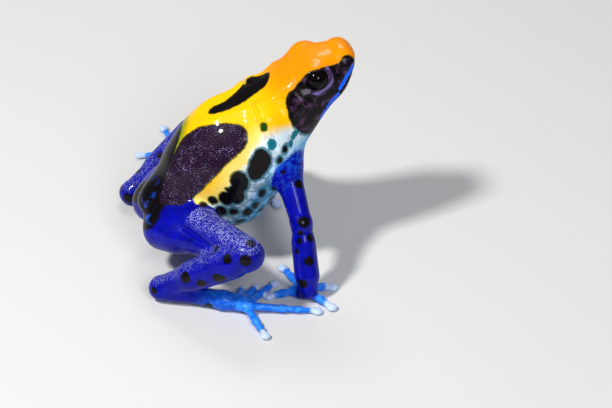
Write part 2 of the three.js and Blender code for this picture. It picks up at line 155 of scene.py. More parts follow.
def egg(centre, sizes, azimuth=0.0):
    """A ball squeezed to three half sizes and turned about Z."""
    c, s = math.cos(azimuth), math.sin(azimuth)
    turn = np.array([[c, -s, 0], [s, c, 0], [0, 0, 1]])
    sizes = np.array(sizes)

    def distance(p):
        q = (p - centre) @ turn
        k0 = np.sqrt(((q / sizes) ** 2).sum(1))
        k1 = np.sqrt(((q / sizes**2) ** 2).sum(1))
        return k0 * (k0 - 1) / np.maximum(k1, 1e-9)

    return Form(distance, centre - sizes.max(), centre + sizes.max())


def melt(forms, reach):
    def distance(p):
        d = forms[0].distance(p)
        for form in forms[1:]:
            d = soft_min(d, form.distance(p), reach)
        return d

    return Form(distance, np.min([f.low for f in forms], 0), np.max([f.high for f in forms], 0))


ball = egg(np.zeros(3), (1, 1, 1))
print("a test point lies", ball.distance(np.array([[3.0, 0, 0]])), "mm outside a ball of 1 mm")

# %% [markdown]
# ## Head and torso
# Sections across the body are rounded boxes whose height and width follow a profile, as the hull
# of a boat follows its ribs. The profile gives the raised head, the neck, the arched back and the
# full belly. A loft of curves would do as well, but a function can be melted with the limbs.

# %% The body profile
# its columns: along, top, bottom, half width, level of the greatest width
TOP, BOTTOM, HALF_WIDTH, WIDEST = 1, 2, 3, 4
profile = np.array([
    [0, 2.4, -4.6, 3.4, -0.6],
    [5, 3.2, -8.4, 4.7, -1.9],
    [9, 5.7, -11.3, 6.7, -2.7],
    [14, 8.0, -13.2, 8.8, -3.0],
    [19, 8.9, -11.9, 9.2, -2.0],
    [24, 8.1, -9.3, 8.5, -0.8],
    [29, 7.5, -6.0, 7.3, 0.6],
    [33, 8.2, -3.5, 6.8, 1.3],
    [37, 8.3, -1.4, 5.8, 1.6],
    [39.5, 7.7, -0.9, 5.2, 1.8],
    [42, 6.75, -0.5, 4.3, 2.0],
])
print(len(profile), "sections; the widest is", 2 * profile[:, HALF_WIDTH].max(), "mm across")


# %% The profile between its sections
def hermite_table(rows, spacing=0.02):
    """The profile's columns at an even, fine spacing along the body, joined smoothly."""
    places = rows[:, 0]
    fine = np.arange(places[0], places[-1] + spacing, spacing)
    i = np.clip(np.searchsorted(places, fine, side="right") - 1, 0, len(rows) - 2)
    width = places[i + 1] - places[i]
    before, after = np.maximum(i - 1, 0), np.minimum(i + 2, len(rows) - 1)

    def slope(a, b):
        return (rows[b] - rows[a]) / (places[b] - places[a])[:, None] * width[:, None]

    slope_in, slope_out = slope(before, i + 1), slope(i, after)
    t = ((fine - places[i]) / width)[:, None]
    t2, t3 = t * t, t * t * t
    values = (2 * t3 - 3 * t2 + 1) * rows[i] + (t3 - 2 * t2 + t) * slope_in
    return fine, values + (3 * t2 - 2 * t3) * rows[i + 1] + (t3 - t2) * slope_out


fine_along, fine_profile = hermite_table(profile)
print("the profile is read from", len(fine_along), "fine steps")


def profile_at(along, column):
    return np.interp(along, fine_along, fine_profile[:, column])


def section_at(along, up):
    """The level where the body is widest, and how high it is on the point's side of that."""
    level = profile_at(along, WIDEST)
    above, below = profile_at(along, TOP) - level, level - profile_at(along, BOTTOM)
    return level, np.where(up > level, above, below)


# %% Head and torso as one form
# a power of 2 makes an oval, and a higher one a squarer section or a blunter end
belly_power, back_power, crown_adds = 2.15, 2.3, 0.7
rump_power, snout_power = 2.4, 3.0
rump_start, rump_length = 6, 6.4
snout_start, snout_length = 41.8, 3.5
chin_level, chin_slope = 4.2, 0.8


def smoothstep(low, high, value):
    """0 at low and 1 at high, with a soft start and end; low may be the larger one."""
    t = np.clip((value - low) / (high - low), 0, 1)
    return t * t * (3 - 2 * t)


def body_distance(p):
    along, side, up = to_body(p)
    level, height = section_at(along, up)
    width = profile_at(along, HALF_WIDTH)
    upper_power = back_power + crown_adds * smoothstep(30, 38, along)
    power = np.where(up > level, upper_power, belly_power)
    across, upright = np.abs(side) / width, np.abs(up - level) / height
    section = (across**power + upright**power) ** (1 / power)
    rear = np.maximum(0, (rump_start - along) / rump_length)
    chin = chin_slope * np.maximum(0, chin_level - up)
    front = np.maximum(0, (along + chin - snout_start) / snout_length)
    ends = np.where(along < 20, rump_power, snout_power)
    whole = (section**ends + (rear + front) ** ends) ** (1 / ends)
    return (whole - 1) * np.minimum(np.minimum(width, height), 6)


body = Form(body_distance, np.array([-12, -10.5, -2.0]), np.array([42, 10.5, 42.0]))
print("head and torso lie between", body.low, "and", body.high)

# %% [markdown]
# ## Limbs
# Each limb is a chain of bones with the muscles on them. The lengths are shares of the length from
# snout to vent, and each bone has a heading and a rise, read from the photograph for the right side
# and given for the left, which the body hides.

# %% Limb lengths
thigh_length = 0.411 * snout_vent
shank_length = 0.407 * snout_vent
ankle_length = 0.24 * snout_vent
midfoot_length = 0.104 * snout_vent
upper_arm_length = 0.267 * snout_vent
forearm_length = 0.256 * snout_vent
# length and disc radius of each digit, and where the toes start across the foot and behind its ball
toe_sizes = ((4.6, 0.62), (6.2, 0.7), (9.1, 0.85), (12.3, 0.9), (8.2, 0.85))
finger_sizes = ((5.6, 0.78), (7.6, 0.95), (5.2, 1.05), (6.4, 0.98))
toe_spread = (-1.3, -0.9, -0.3, 0.4, 1.1)
toe_set_back = (2.4, 1.5, 0.6, 0, 0.3)
print("thigh", round(thigh_length, 1), "mm, longest toe", max(toe_sizes)[0], "mm")

# %% The pose
# heading (0 forward, positive outwards) and rise in degrees; for digits the heading alone
pose = {
    "right": {
        "thigh": (66.6, 6.2), "shank": (-147.9, -33.9), "ankle": (27.5, -4.0),
        "midfoot": (25, -3.0), "upper_arm": (82, -46), "forearm": (88, -66),
        "toes": (-66, -52, -42, 15.5, 80), "fingers": (180, -101, -4, 55.6),
    },
    "left": {
        "thigh": (57.1, 8.7), "shank": (-172, -38.8), "ankle": (34, -4.0),
        "midfoot": (50, -3.0), "upper_arm": (80, -46), "forearm": (86, -66),
        "toes": (-2, 24, 56, 95, 152), "fingers": (200, -75, 5, 65),
    },
}


def heading(azimuth, rise, side):
    a, r = math.radians(azimuth), math.radians(rise)
    return np.array([math.cos(r) * math.cos(a), math.cos(r) * math.sin(a) * side, math.sin(r)])


print("the right thigh aims at", heading(*pose["right"]["thigh"], -1).round(2))


# %% The joints
def at_height(place, height):
    return np.array([place[0], place[1], height])


def limb_joints(name):
    side = -1 if name == "right" else 1
    j = {"side": side, "behind": np.array([-0.82, 0.05 * side, -0.57])}
    for bone in ("thigh", "shank", "ankle", "midfoot", "upper_arm", "forearm"):
        j[bone + "_aim"] = heading(*pose[name][bone], side)
    j["hip"] = np.array([3.3, 4.0 * side, 10.5])
    j["knee"] = j["hip"] + j["thigh_aim"] * thigh_length
    j["heel"] = j["knee"] + j["shank_aim"] * shank_length
    j["ankle"] = j["heel"] + j["ankle_aim"] * ankle_length
    j["ball"] = j["ankle"] + j["midfoot_aim"] * midfoot_length
    j["shoulder"] = np.array([20.6, 5.9 * side, 21.2])
    j["elbow"] = j["shoulder"] + j["upper_arm_aim"] * upper_arm_length
    j["wrist"] = j["elbow"] + j["forearm_aim"] * forearm_length
    j["palm"] = at_height(j["wrist"] + np.array([-0.6, -1.6 * side, 0]), 0.95)
    return j


joints = {name: limb_joints(name) for name in pose}
for name, j in joints.items():
    print(name, {spot: j[spot].round(1).tolist() for spot in ("knee", "heel", "wrist")})


# %% [markdown]
# ## Digits
# A dart frog's toes are thin rods that end in flat sticking discs. The joints stand out a little
# as knuckles. A rounded cone for each bone, small balls for the knuckles and a flat egg for the
# disc give that. The pair of tiny shields on top of a real disc is too small to show and left out.

# %% One toe or finger
digit_radius = 0.62
# heights above the floor
root_height, arch_height, knuckle_height, neck_height, disc_height = 0.75, 0.85, 0.72, 0.6, 0.46
discs = []


def between(a, b, share, push=None, by=0.0):
    """A place between two others, pushed aside if a direction is given."""
    return a + (b - a) * share + (0 if push is None else push * by)


def digit(side, root, azimuth, length, disc):
    aim = heading(azimuth, 0, side)
    turn = math.atan2(aim[1], aim[0])
    start = at_height(root, max(root[2], root_height))
    arch = at_height(root + aim * length * 0.45, arch_height)
    tip = at_height(root + aim * (length - disc), disc_height)
    neck = at_height(tip - aim * disc * 0.9, neck_height)
    knuckle = at_height(between(arch, tip, 0.45), knuckle_height)
    discs.append((tip, disc))
    bones = [
        cone(start, arch, digit_radius * 1.15, digit_radius * 0.92),
        cone(arch, neck, digit_radius * 0.92, digit_radius * 0.72),
        egg(arch, (0.85, 0.68, 0.62), turn),
        egg(knuckle, (0.7, 0.6, 0.56), turn),
        egg(tip, (disc, disc, 0.52), turn),
    ]
    return melt(bones, 0.35)


# %% The legs' forms, each with how widely it melts into what came before
def unit(v):
    return v / np.linalg.norm(v)


def leg_forms(name):
    j = joints[name]
    hip, knee, heel, ankle, behind = (j[k] for k in ("hip", "knee", "heel", "ankle", "behind"))
    rear = between(hip, knee, 0.02, behind, 3.8), between(hip, knee, 0.8, behind, 1.5)
    calf = between(knee, heel, 0.18, behind, 0.2), between(knee, heel, 0.62, behind, 0.1)
    j["thigh_muscles"] = [cone(hip, knee, 3.5, 2.85), cone(*rear, 3.3, 1.7)]
    thigh = melt(j["thigh_muscles"], 0.5)
    shank = melt([cone(knee, heel, 2.85, 1.95), cone(*calf, 2.9, 2.5)], 1.2)
    heel_end = between(heel, ankle, 0.3)
    ankle_form = melt([cone(heel, ankle, 1.8, 1.45), cone(heel, heel_end, 1.95, 1.6)], 1.0)
    across = unit(np.array([-j["midfoot_aim"][1], j["midfoot_aim"][0], 0]))
    sole = melt([cone(ankle, j["ball"] + across * 0.9 * k, 1.4, 0.85) for k in (-1, 0, 1)], 0.8)
    forms = [(thigh, 1.4), (shank, 0.5), (ankle_form, 0.5), (sole, 0.8)]
    for i, (length, disc) in enumerate(toe_sizes):
        root = j["ball"] + across * toe_spread[i] * j["side"] - j["midfoot_aim"] * toe_set_back[i]
        forms.append((digit(j["side"], root, pose[name]["toes"][i], length, disc), 0.5))
    return forms


# %% The arms' forms
def arm_forms(name):
    j = joints[name]
    elbow, wrist = j["elbow"], j["wrist"]
    muscle = between(elbow, wrist, 0.3), between(elbow, wrist, 0.78)
    forearm = melt([cone(elbow, wrist, 1.8, 1.45), cone(*muscle, 1.9, 2.1)], 1.0)
    palm = melt([cone(wrist, j["palm"], 1.45, 1.15), egg(j["palm"], (2.3, 2.0, 1.05))], 1.0)
    forms = [(cone(j["shoulder"], elbow, 2.5, 1.75), 2.2), (forearm, 0.7), (palm, 0.8)]
    for azimuth, (length, disc) in zip(pose[name]["fingers"], finger_sizes):
        root = j["palm"] + heading(azimuth, 0, j["side"]) * 1.1
        forms.append((digit(j["side"], root, azimuth, length, disc), 0.5))
    return forms


# %% The trunk with the roots of the limbs, the shoulder blades and the brows
trunk_parts = [(body, 1.0)]
for j in joints.values():
    hip, shoulder, behind, side = j["hip"], j["shoulder"], j["behind"], j["side"]
    blade = from_body(26.6, 4.9 * side, 4.3), from_body(25.0, 6.6 * side, 0.5)
    brow = from_body(eye_place[0] - 0.1, (eye_place[1] - 0.4) * side, eye_place[2] + 0.12)
    trunk_parts += [
        (cone(hip, hip + j["thigh_aim"] * 3.4, 3.8, 3.6), 2.0),
        (cone(hip + behind * 3.8, hip + behind * 3.4 + j["thigh_aim"] * 3.4, 3.4, 3.2), 2.0),
        (cone(shoulder, shoulder + j["upper_arm_aim"] * 1.4, 2.6, 2.45), 2.6),
        (cone(*blade, 2.2, 2.2), 2.0),
        (egg(brow, (2.65, 2.2, 2.25)), 1.0),
    ]
limb_parts = {}
for name in joints:
    limb_parts["leg_" + name] = leg_forms(name)
    limb_parts["arm_" + name] = arm_forms(name)
flesh_parts = trunk_parts + [part for parts in limb_parts.values() for part in parts]
print(len(flesh_parts), "forms make the flesh")


# %% [markdown]
# ## Eyes, nostrils and mouth
# The eyeball sits in a socket, under lids that hug it. The opening between the lids is an almond
# in the directions seen from the eye's middle, so it stays at the ball however the head is shaped.
# Socket, opening and nostrils are cut from the flesh with the same softness as the rest.

# %% Which way the eyes look
lid_tilt = 0.1
lid_line = math.cos(lid_tilt) * along_axis - math.sin(lid_tilt) * up_axis
eye_frames = []
for side in (-1, 1):
    aim = unit(0.08 * along_axis + np.array([0, 0.9 * side, 0]) + 0.36 * up_axis)
    forward = unit(lid_line - aim * (lid_line @ aim))
    above = np.cross(forward, aim) * -side
    above = above if above[2] > 0 else -above
    centre = from_body(eye_place[0], eye_place[1] * side, eye_place[2])
    eye_frames.append((centre, aim, forward, above))
print("the eyes look along", [eye[1].round(2).tolist() for eye in eye_frames])

# %% The opening between the lids
# its half length and half heights above and below the line of its corners, as directions
half_length, half_above, half_below, corner_level = 0.92, 0.7, 0.76, -0.02


def eye_angles(p, centre, aim, forward, above):
    """How far forward, up and out of the eye's middle points lie, as directions, and how far off."""
    rel = p - centre
    far = np.maximum(np.linalg.norm(rel, axis=1), 1e-6)
    return rel @ forward / far, rel @ above / far, rel @ aim / far, far


def opening_distance(p, eye):
    u, v, w, _ = eye_angles(p, *eye)
    half_height = np.where(v > corner_level, half_above, half_below)
    almond = np.sqrt((u / half_length) ** 2 + ((v - corner_level) / half_height) ** 2) - 1
    return np.where(w > 0, almond * 1.2, 2.0)


# %% Nostrils
def march(distance, start, aim, limit=8.0):
    """Where a line from inside the flesh leaves it."""
    reaches = np.arange(0, limit, 0.01)
    d = distance(start + reaches[:, None] * aim)
    return start + aim * reaches[np.argmax(d > 0)]


def parts_distance(parts, p, margin=1.5):
    """The distance from forms that melt together; each counts only near its own box."""
    d = np.full(len(p), 50.0)
    low, high = p.min(0), p.max(0)
    for form, reach in parts:
        reach_out = margin + reach
        if np.any(form.low - reach_out > high) or np.any(form.high + reach_out < low):
            continue
        near = np.all((p > form.low - reach_out) & (p < form.high + reach_out), axis=1)
        if near.any():
            d[near] = soft_min(d[near], form.distance(p[near]), reach)
    return d


nostril_pits = []
for side in (-1, 1):
    aim = unit(0.5 * along_axis + np.array([0, 0.75 * side, 0]) + 0.3 * up_axis)
    within = from_body(42.6, 1.4 * side, 3.6)
    mouth_of_pit = march(lambda p: parts_distance(trunk_parts, p), within, aim)
    nostril_pits.append(cone(mouth_of_pit - aim * 0.75, mouth_of_pit + aim * 0.3, 0.18, 0.4))
print("nostrils open at", [to_body((p.low + p.high)[None] / 2)[0].round(1) for p in nostril_pits])


# %% All of it as one distance
lid_thickness, lid_softness, opening_softness, ball_gap = 0.2, 0.7, 0.3, 0.03


def soft_cut(d, tool, reach):
    return -soft_min(-d, tool, reach)


def skin_distance(p, margin=1.5):
    d = parts_distance(flesh_parts, p, margin)
    for eye in eye_frames:
        near = np.linalg.norm(p - eye[0], axis=1) < 4.5
        if not near.any():
            continue
        q = p[near]
        ball = np.linalg.norm(q - eye[0], axis=1)
        lidded = soft_min(d[near], ball - (eye_radius + lid_thickness), lid_softness)
        opened = soft_cut(lidded, opening_distance(q, eye), opening_softness)
        d[near] = np.maximum(opened, eye_radius + ball_gap - ball)
    for pit in nostril_pits:
        near = np.linalg.norm(p - (pit.low + pit.high) / 2, axis=1) < 2
        if near.any():
            d[near] = soft_cut(d[near], pit.distance(p[near]), 0.25)
    return d


print("the body's middle lies", -skin_distance(from_body(20, 0, 0)[None]).round(1), "mm deep")

# %% [markdown]
# ## One skin
# The function is sampled on a fine grid of cells, but only in the blocks that the surface passes
# through. Each cell that it passes gets one point, and the four cells round each crossed edge
# are joined by a face: a net of squares of one even size, without seams. Each point is then
# pushed onto the surface itself. Blender's own way would be a volume turned into a mesh.

# %% Sampling the blocks near the surface
cell = 0.17
block = 8
room = 1.2
blocks_at_once = 300
low_corner = shift + node_boxes[:, 0].min(0) * 1000 - room
high_corner = shift + node_boxes[:, 1].max(0) * 1000 + room
blocks = np.ceil((high_corner - low_corner) / (cell * block)).astype(int)


def sample_field():
    """The distance at every corner near the surface, and elsewhere only its sign."""
    middles = [(np.arange(n) + 0.5) * block * cell for n in blocks]
    centres = np.stack(np.meshgrid(*middles, indexing="ij"), -1)
    middle = skin_distance(centres.reshape(-1, 3) + low_corner, margin=4.0)
    field = np.repeat(np.sign(middle).astype(np.float32).reshape(blocks), block, 0)
    field = np.repeat(np.repeat(field, block, 1), block, 2)
    field = np.pad(field, ((0, 1), (0, 1), (0, 1)), mode="edge")
    half_diagonal = cell * block * 0.87
    reach = half_diagonal * 1.5 + 0.3
    active = np.flatnonzero(np.abs(middle) < reach)
    corners = np.stack(np.unravel_index(active, blocks), 1) * block
    steps = np.stack(np.meshgrid(*[np.arange(block + 1)] * 3, indexing="ij"), -1).reshape(-1, 3)
    for batch in np.array_split(corners, max(1, len(corners) // blocks_at_once)):
        index = (batch[:, None] + steps).reshape(-1, 3)
        field[tuple(index.T)] = skin_distance(index * cell + low_corner)
    print(len(active), "blocks of", len(middle), "hold the surface")
    return field


field = sample_field()
print("sampled", field.shape, "in", round(time.time() - started, 1), "s")


# %% The net of squares
def surface_net(field):
    """A point in each cell that the surface passes, and a square round each crossed edge."""
    inside = field < 0
    cells = np.array(field.shape) - 1
    strides = np.array([cells[1] * cells[2], cells[2], 1])
    cell_ids, crossings, quads = [], [], []
    for axis in range(3):
        other = [(1, 2), (2, 0), (0, 1)][axis]
        near = [slice(None)] * 3
        far = [slice(None)] * 3
        near[axis], far[axis] = slice(None, -1), slice(1, None)
        edge = np.argwhere(inside[tuple(near)] != inside[tuple(far)])
        edge = edge[np.all((edge[:, other] > 0) & (edge[:, other] < cells[list(other)]), axis=1)]
        ahead = edge.copy()
        ahead[:, axis] += 1
        a, b = field[tuple(edge.T)], field[tuple(ahead.T)]
        point = edge.astype(float)
        point[:, axis] += a / (a - b)
        ring = []
        for du, dv in ((0, 0), (1, 0), (1, 1), (0, 1)):
            owner = edge.copy()
            owner[:, other[0]] -= du
            owner[:, other[1]] -= dv
            ring.append(owner @ strides)
            cell_ids.append(ring[-1])
            crossings.append(point)
        ring = np.stack(ring, 1)
        quads.append(np.where((a < 0)[:, None], ring, ring[:, ::-1]))
    cell_ids = np.concatenate(cell_ids)
    crossings = np.concatenate(crossings)
    used, slot = np.unique(cell_ids, return_inverse=True)
    total = np.bincount(slot)
    points = np.stack([np.bincount(slot, crossings[:, k]) / total for k in range(3)], 1)
    return points * cell + low_corner, np.searchsorted(used, np.concatenate(quads))


points, quads = surface_net(field)
del field
print(len(points), "points and", len(quads), "squares")


# %% Pushing the points onto the surface
def slope(p, spread=0.03):
    """How fast the distance grows along X, Y and Z."""
    rises = [skin_distance(p + step) - skin_distance(p - step) for step in np.eye(3) * spread]
    return np.stack(rises, 1) / (2 * spread)


for _ in range(2):
    gradient = slope(points)
    steepness = np.maximum((gradient**2).sum(1), 0.05)
    move = -(skin_distance(points) / steepness)[:, None] * gradient
    size = np.maximum(np.linalg.norm(move, axis=1), 1e-9)
    points += move * np.minimum(1, 0.5 * cell / size)[:, None]
normals = gradient / np.linalg.norm(gradient, axis=1)[:, None]
print("on the surface to within", np.abs(skin_distance(points)).mean().round(4), "mm,",
      round(time.time() - started, 1), "s")

# %% [markdown]
# ## Where each point of the skin is
# Markings are easiest to place on an unrolled skin: how far along the body, and how far round it
# from the middle of the back. That second distance is called girth here and is positive on the
# right. Points on a limb are told apart by asking which form lies nearest.

# %% Along, girth and limb
girth_radius = 8.5
along, side, up = to_body(points)
level, height = section_at(along, up)
around = np.arctan2(np.abs(side) / profile_at(along, HALF_WIDTH), (up - level) / height)
girth = -np.sign(side) * around * girth_radius
trunk_d = parts_distance(trunk_parts, points, margin=6.0)
limb_d = {name: parts_distance(parts, points, margin=3.0) for name, parts in limb_parts.items()}
nearest_limb = np.min(list(limb_d.values()), axis=0)
limb = smoothstep(-0.25, 0.35, trunk_d - nearest_limb)
leg_d = np.minimum(limb_d["leg_right"], limb_d["leg_left"])
arm_d = np.minimum(limb_d["arm_right"], limb_d["arm_left"])
unrolled = np.stack([along, girth], 1)


def tell(**shares):
    """Print the share of the skin's points that each marking covers."""
    print({name: round(float(np.mean(values)), 3) for name, values in shares.items()})


tell(limbs=limb)


# %% Distances to outlines, lines and spots
def rounded(outline, closed=True, times=2):
    """An outline with its corners cut, so that it runs as softly as pigment does."""
    line = np.array(outline, float)
    for _ in range(times):
        after = np.roll(line, -1, 0) if closed else line[1:]
        here = line if closed else line[:-1]
        cut = np.stack([here * 0.75 + after * 0.25, here * 0.25 + after * 0.75], 1)
        cut = cut.reshape(-1, line.shape[1])
        line = cut if closed else np.concatenate([line[:1], cut, line[-1:]])
    return line


def to_line(p, line):
    """The distance of points from a bent line, in two or three dimensions."""
    best = np.full(len(p), 1e3)
    for a, b in zip(line[:-1], line[1:]):
        span = b - a
        t = np.clip((p - a) @ span / max(span @ span, 1e-9), 0, 1)
        best = np.minimum(best, np.linalg.norm(p - a - t[:, None] * span, axis=1))
    return best


def to_patch(p, outline):
    """The distance from an outlined patch, negative inside it."""
    line = rounded(outline)
    loop = np.concatenate([line, line[:1]])
    inside = np.zeros(len(p), bool)
    for a, b in zip(loop[:-1], loop[1:]):
        crosses = (a[1] > p[:, 1]) != (b[1] > p[:, 1])
        with np.errstate(divide="ignore", invalid="ignore"):
            at = a[0] + (p[:, 1] - a[1]) * (b[0] - a[0]) / (b[1] - a[1])
        inside ^= crosses & (p[:, 0] < at)
    return np.where(inside, -1, 1) * to_line(p, loop)


def to_spots(p, spots):
    """The distance from the nearest spot's rim; a spot is its middle and then its radius."""
    best = np.full(len(p), 1e3)
    for *centre, radius in spots:
        best = np.minimum(best, np.linalg.norm(p - np.array(centre), axis=1) - radius)
    return best


def mirrored(outline, ahead=0.0, round_by=0.0):
    """The same outline on the left, moved a little ahead and round."""
    return [(a + ahead, -(g + round_by)) for a, g in outline]


# %% [markdown]
# ## Black patches
# The back carries one long black patch, and each flank a large purple-black one that runs into
# the dark rump. The right side follows the photograph. The left side is hidden there, so it gets
# the same patches moved a little, because no frog is quite the same on both sides.

# %% Patches of the back and flanks
back_patch = [
    (18.8, 0.2), (20.1, -0.4), (21.9, -0.3), (23.6, -1), (25.3, -2.4), (27.2, -4.6), (29, -4.2),
    (30.9, -2.7), (30.9, -0.8), (29.5, 0.8), (27.9, 1), (25.8, 1.7), (23.8, 1.9), (21.6, 1.9),
    (19.5, 1.4),
]
flank_patch = [
    (12.8, 0.9), (14.2, 1.2), (15.6, 1.6), (17.5, 2.7), (20.4, 4.1), (22.3, 5.1), (23, 6.4),
    (22.6, 7.8), (21.2, 8.6), (19.2, 8.8), (16.8, 8.8), (14.7, 9.1), (12.7, 9.4), (10.6, 10.1),
    (8.5, 10.7), (6.6, 11.0), (5.3, 10.2), (3.5, 9.9), (3.7, 7.1), (6.2, 4), (8.7, 2.4),
    (10.9, 1.4),
]
rump_patch = [
    (14.2, -4.2), (13.4, -1.6), (11.7, 0.4), (9.6, 2.0), (8, 5), (8, 9), (8.6, 12), (7.6, 15),
    (4, 18), (-5, 24), (-12, 0), (-5, -24), (4, -18), (7.6, -15), (8.6, -12), (8, -10),
    (13, -7.5),
]
oval_patch = [
    (23.5, 9.8), (24.4, 12.1), (22.8, 13.6), (20.7, 14), (18.8, 12.8), (19.6, 11.3), (21.3, 10.4),
]
left_flank = [
    (13.5, -6), (15.5, -4.6), (18, -4.4), (20.8, -5), (22.6, -6.4), (22.4, -8.2), (20.6, -9.4),
    (17.5, -9.9), (14, -10.6), (10.5, -11.4), (7, -12), (4, -11), (3, -8),
]

flank = np.minimum(to_patch(unrolled, flank_patch), to_patch(unrolled, left_flank))
# how far below a line over the hip, which rises by 0.35 for each millimetre ahead
hip_line = (0.35 * along - 1 - up) / 1.06
rump = np.maximum(to_patch(unrolled, rump_patch), hip_line)
back = to_patch(unrolled, back_patch)
left_oval = mirrored(oval_patch, -0.7, 0.6)
oval = np.minimum(to_patch(unrolled, oval_patch), to_patch(unrolled, left_oval))
tell(back=back < 0, flank=flank < 0, rump=rump < 0, oval=oval < 0)

# %% [markdown]
# ## Spots
# Round black spots lie below the yellow, and small dark green ones in it near the shoulder.
# Those that the photograph shows are listed, each with its place and radius. The hidden rest of
# the belly is filled by throwing spots at random and keeping those that leave a gap to all others,
# which looks as even and as irregular as real spots. The seed is fixed, so they never change.

# %% Spots of the belly and shoulders
side_spots = [
    (17.3, 11.9, 1.53), (15.4, 13.1, 1.53), (13.8, 12.8, 1.19), (11.6, 12.2, 0.68),
    (11.5, 14.6, 1.02), (9.7, 12.5, 0.68), (13.3, 15.5, 0.68), (14.8, 11.7, 0.34),
    (25, 13.8, 0.51), (24.3, 15.5, 0.51), (21.6, 17.1, 0.68), (19.2, 16.2, 0.68),
    (19.4, 20, 0.68), (17, 17.1, 0.68), (15.2, 17.2, 0.85), (13.1, 18.8, 0.68),
    (26.7, 13.4, 0.51),
]
green_spots = [(25.8, 7.9, 0.68), (25.4, 10.9, 0.85), (29.4, 13.7, 0.85), (28, 14.1, 0.51)]
chance = np.random.default_rng(7)
gap = 0.5
belly_spots = []
for _ in range(900):
    spot = (chance.uniform(4, 33), chance.uniform(-26.7, 26.7))
    if abs(spot[1]) < 12.5 or 0 < spot[1] < 18.6 and spot[0] > 9:
        continue
    radius = chance.uniform(0.35, 0.95)
    taken = belly_spots + side_spots
    if all(math.dist(spot, other[:2]) > radius + other[2] + gap for other in taken):
        belly_spots.append((*spot, radius))
left_spots = [(a - 0.5, -g - 0.4, r) for a, g, r in side_spots[:7]]
side_d = to_spots(unrolled, side_spots + left_spots + belly_spots)
green_d = to_spots(unrolled, green_spots + [(a + 0.4, -g + 0.3, r) for a, g, r in green_spots])
print(len(belly_spots), "more belly spots")
# nothing uses these draws, but without them the limbs' random spots would fall elsewhere
spare_draws = 660
chance.random(spare_draws)

# %% [markdown]
# ## The mask
# A black mask runs from the nostril through the eye to the shoulder, under the orange crown.
# It has a violet sheen round the eardrum, and a bright blue stripe follows the lip.

# %% Mask, lip stripe and eardrum
mask_outline = [
    (31.4, 6.6), (32.3, 6.3), (33.6, 6.4), (34.8, 6.1), (36.1, 6.1), (37.5, 6.3), (38.8, 6.5),
    (40.7, 6.8), (41.5, 7.4), (42.7, 7.2), (43.2, 6.3), (44, 6.3), (44.5, 7.8), (44.6, 9.5),
    (45.6, 16), (44.8, 21.5), (40, 22.5), (34.5, 21), (31.4, 18), (30.6, 15.7), (30.2, 13.9),
    (30, 12.3), (30, 10.7), (30.5, 9.3), (30.9, 8.1),
]
mask = np.minimum(to_patch(unrolled, mask_outline), to_patch(unrolled, mirrored(mask_outline)))
own_side = np.stack([along, np.abs(side), up], 1)
lip_front = [(43.7, 3.6, 3.6), (42.1, 4.2, 2.8), (40.9, 4.7, 2.3), (40.0, 5.1, 1.9)]
lip_rear = [(39.0, 5.0, 1.3), (38.2, 5.4, 1.0), (37.1, 5.6, 0.7), (36, 5.7, 0.3), (34.7, 5.6, -0.6)]
rear_wider = 0.15
lip = np.minimum(to_line(own_side, rounded(lip_front, False)),
                 to_line(own_side, rounded(lip_rear, False)) - rear_wider)
eardrum_centre = np.array([34.5, 6.3, 4.2])
eardrum = np.linalg.norm(own_side - eardrum_centre, axis=1)
trunk_black = np.minimum.reduce([flank, rump, back, oval, side_d, mask])
tell(mask=mask < 0, lip=lip < 0.4, black=trunk_black < 0)

# %% [markdown]
# ## Spots of the limbs
# A limb has no simple unrolled skin, so each of its spots is a ball that stains the skin where it
# cuts it. The listed ones are read from the photograph. The sides that it doesn't show get random
# ones at a loose, even spacing.

# %% Listed and random spots
limb_spots = [
    (22.1, -11.1, 18.5, 0.85), (21.8, -15.5, 13.7, 1.02), (22.6, -16.7, 11.1, 0.68),
    (20.7, -16.7, 10.8, 0.51), (20.3, -17.1, 9.1, 0.51), (22, -18.6, 7.7, 0.85),
    (20.7, -19.6, 4, 0.85), (21, -16.1, 12, 0.5), (0.2, -8.7, 7.9, 0.5), (1.9, -10.9, 9.5, 0.7),
    (3.3, -12.6, 11, 0.7), (6, -18.2, 12.5, 0.7), (11, -21.6, 15.1, 0.85),
    (9.7, -23.4, 13.2, 1.02), (7.1, -21.5, 12.6, 0.85), (5.8, -21.2, 8.7, 1.19),
    (3.1, -19.4, 6.9, 0.85), (0.8, -17.6, 7.2, 1.02), (-3.7, -13.9, 2.8, 0.7), (4.8, -18, 1, 0.7),
    (0.5, 18, 5.7, 0.5),
]
photograph_looks_along = np.array([0.2227, 0.7976, -0.5606])
shown = [spot[:3] for spot in limb_spots]
on_limb = np.flatnonzero((limb > 0.9) & (points[:, 2] > 1.6))
for pick in chance.permutation(on_limb)[:4000]:
    place = points[pick]
    spacing = chance.uniform(2.6, 4.0)
    in_view = place[1] < 0 and normals[pick] @ photograph_looks_along < 0.15
    if in_view or min(math.dist(place, spot) for spot in shown) < spacing:
        continue
    limb_spots.append((*place, chance.uniform(0.4, 1.0)))
    shown.append(tuple(place))
limb_black = to_spots(points, limb_spots)
black = np.where(limb > 0.5, limb_black, trunk_black)
print(len(limb_spots), "spots on the limbs")

# %% [markdown]
# ## Ground colours
# Orange crown, yellow back, pale blue belly and deep blue limbs run into each other.
# Each gets a share from 0 to 1 at every point, and the material turns the shares into colours.

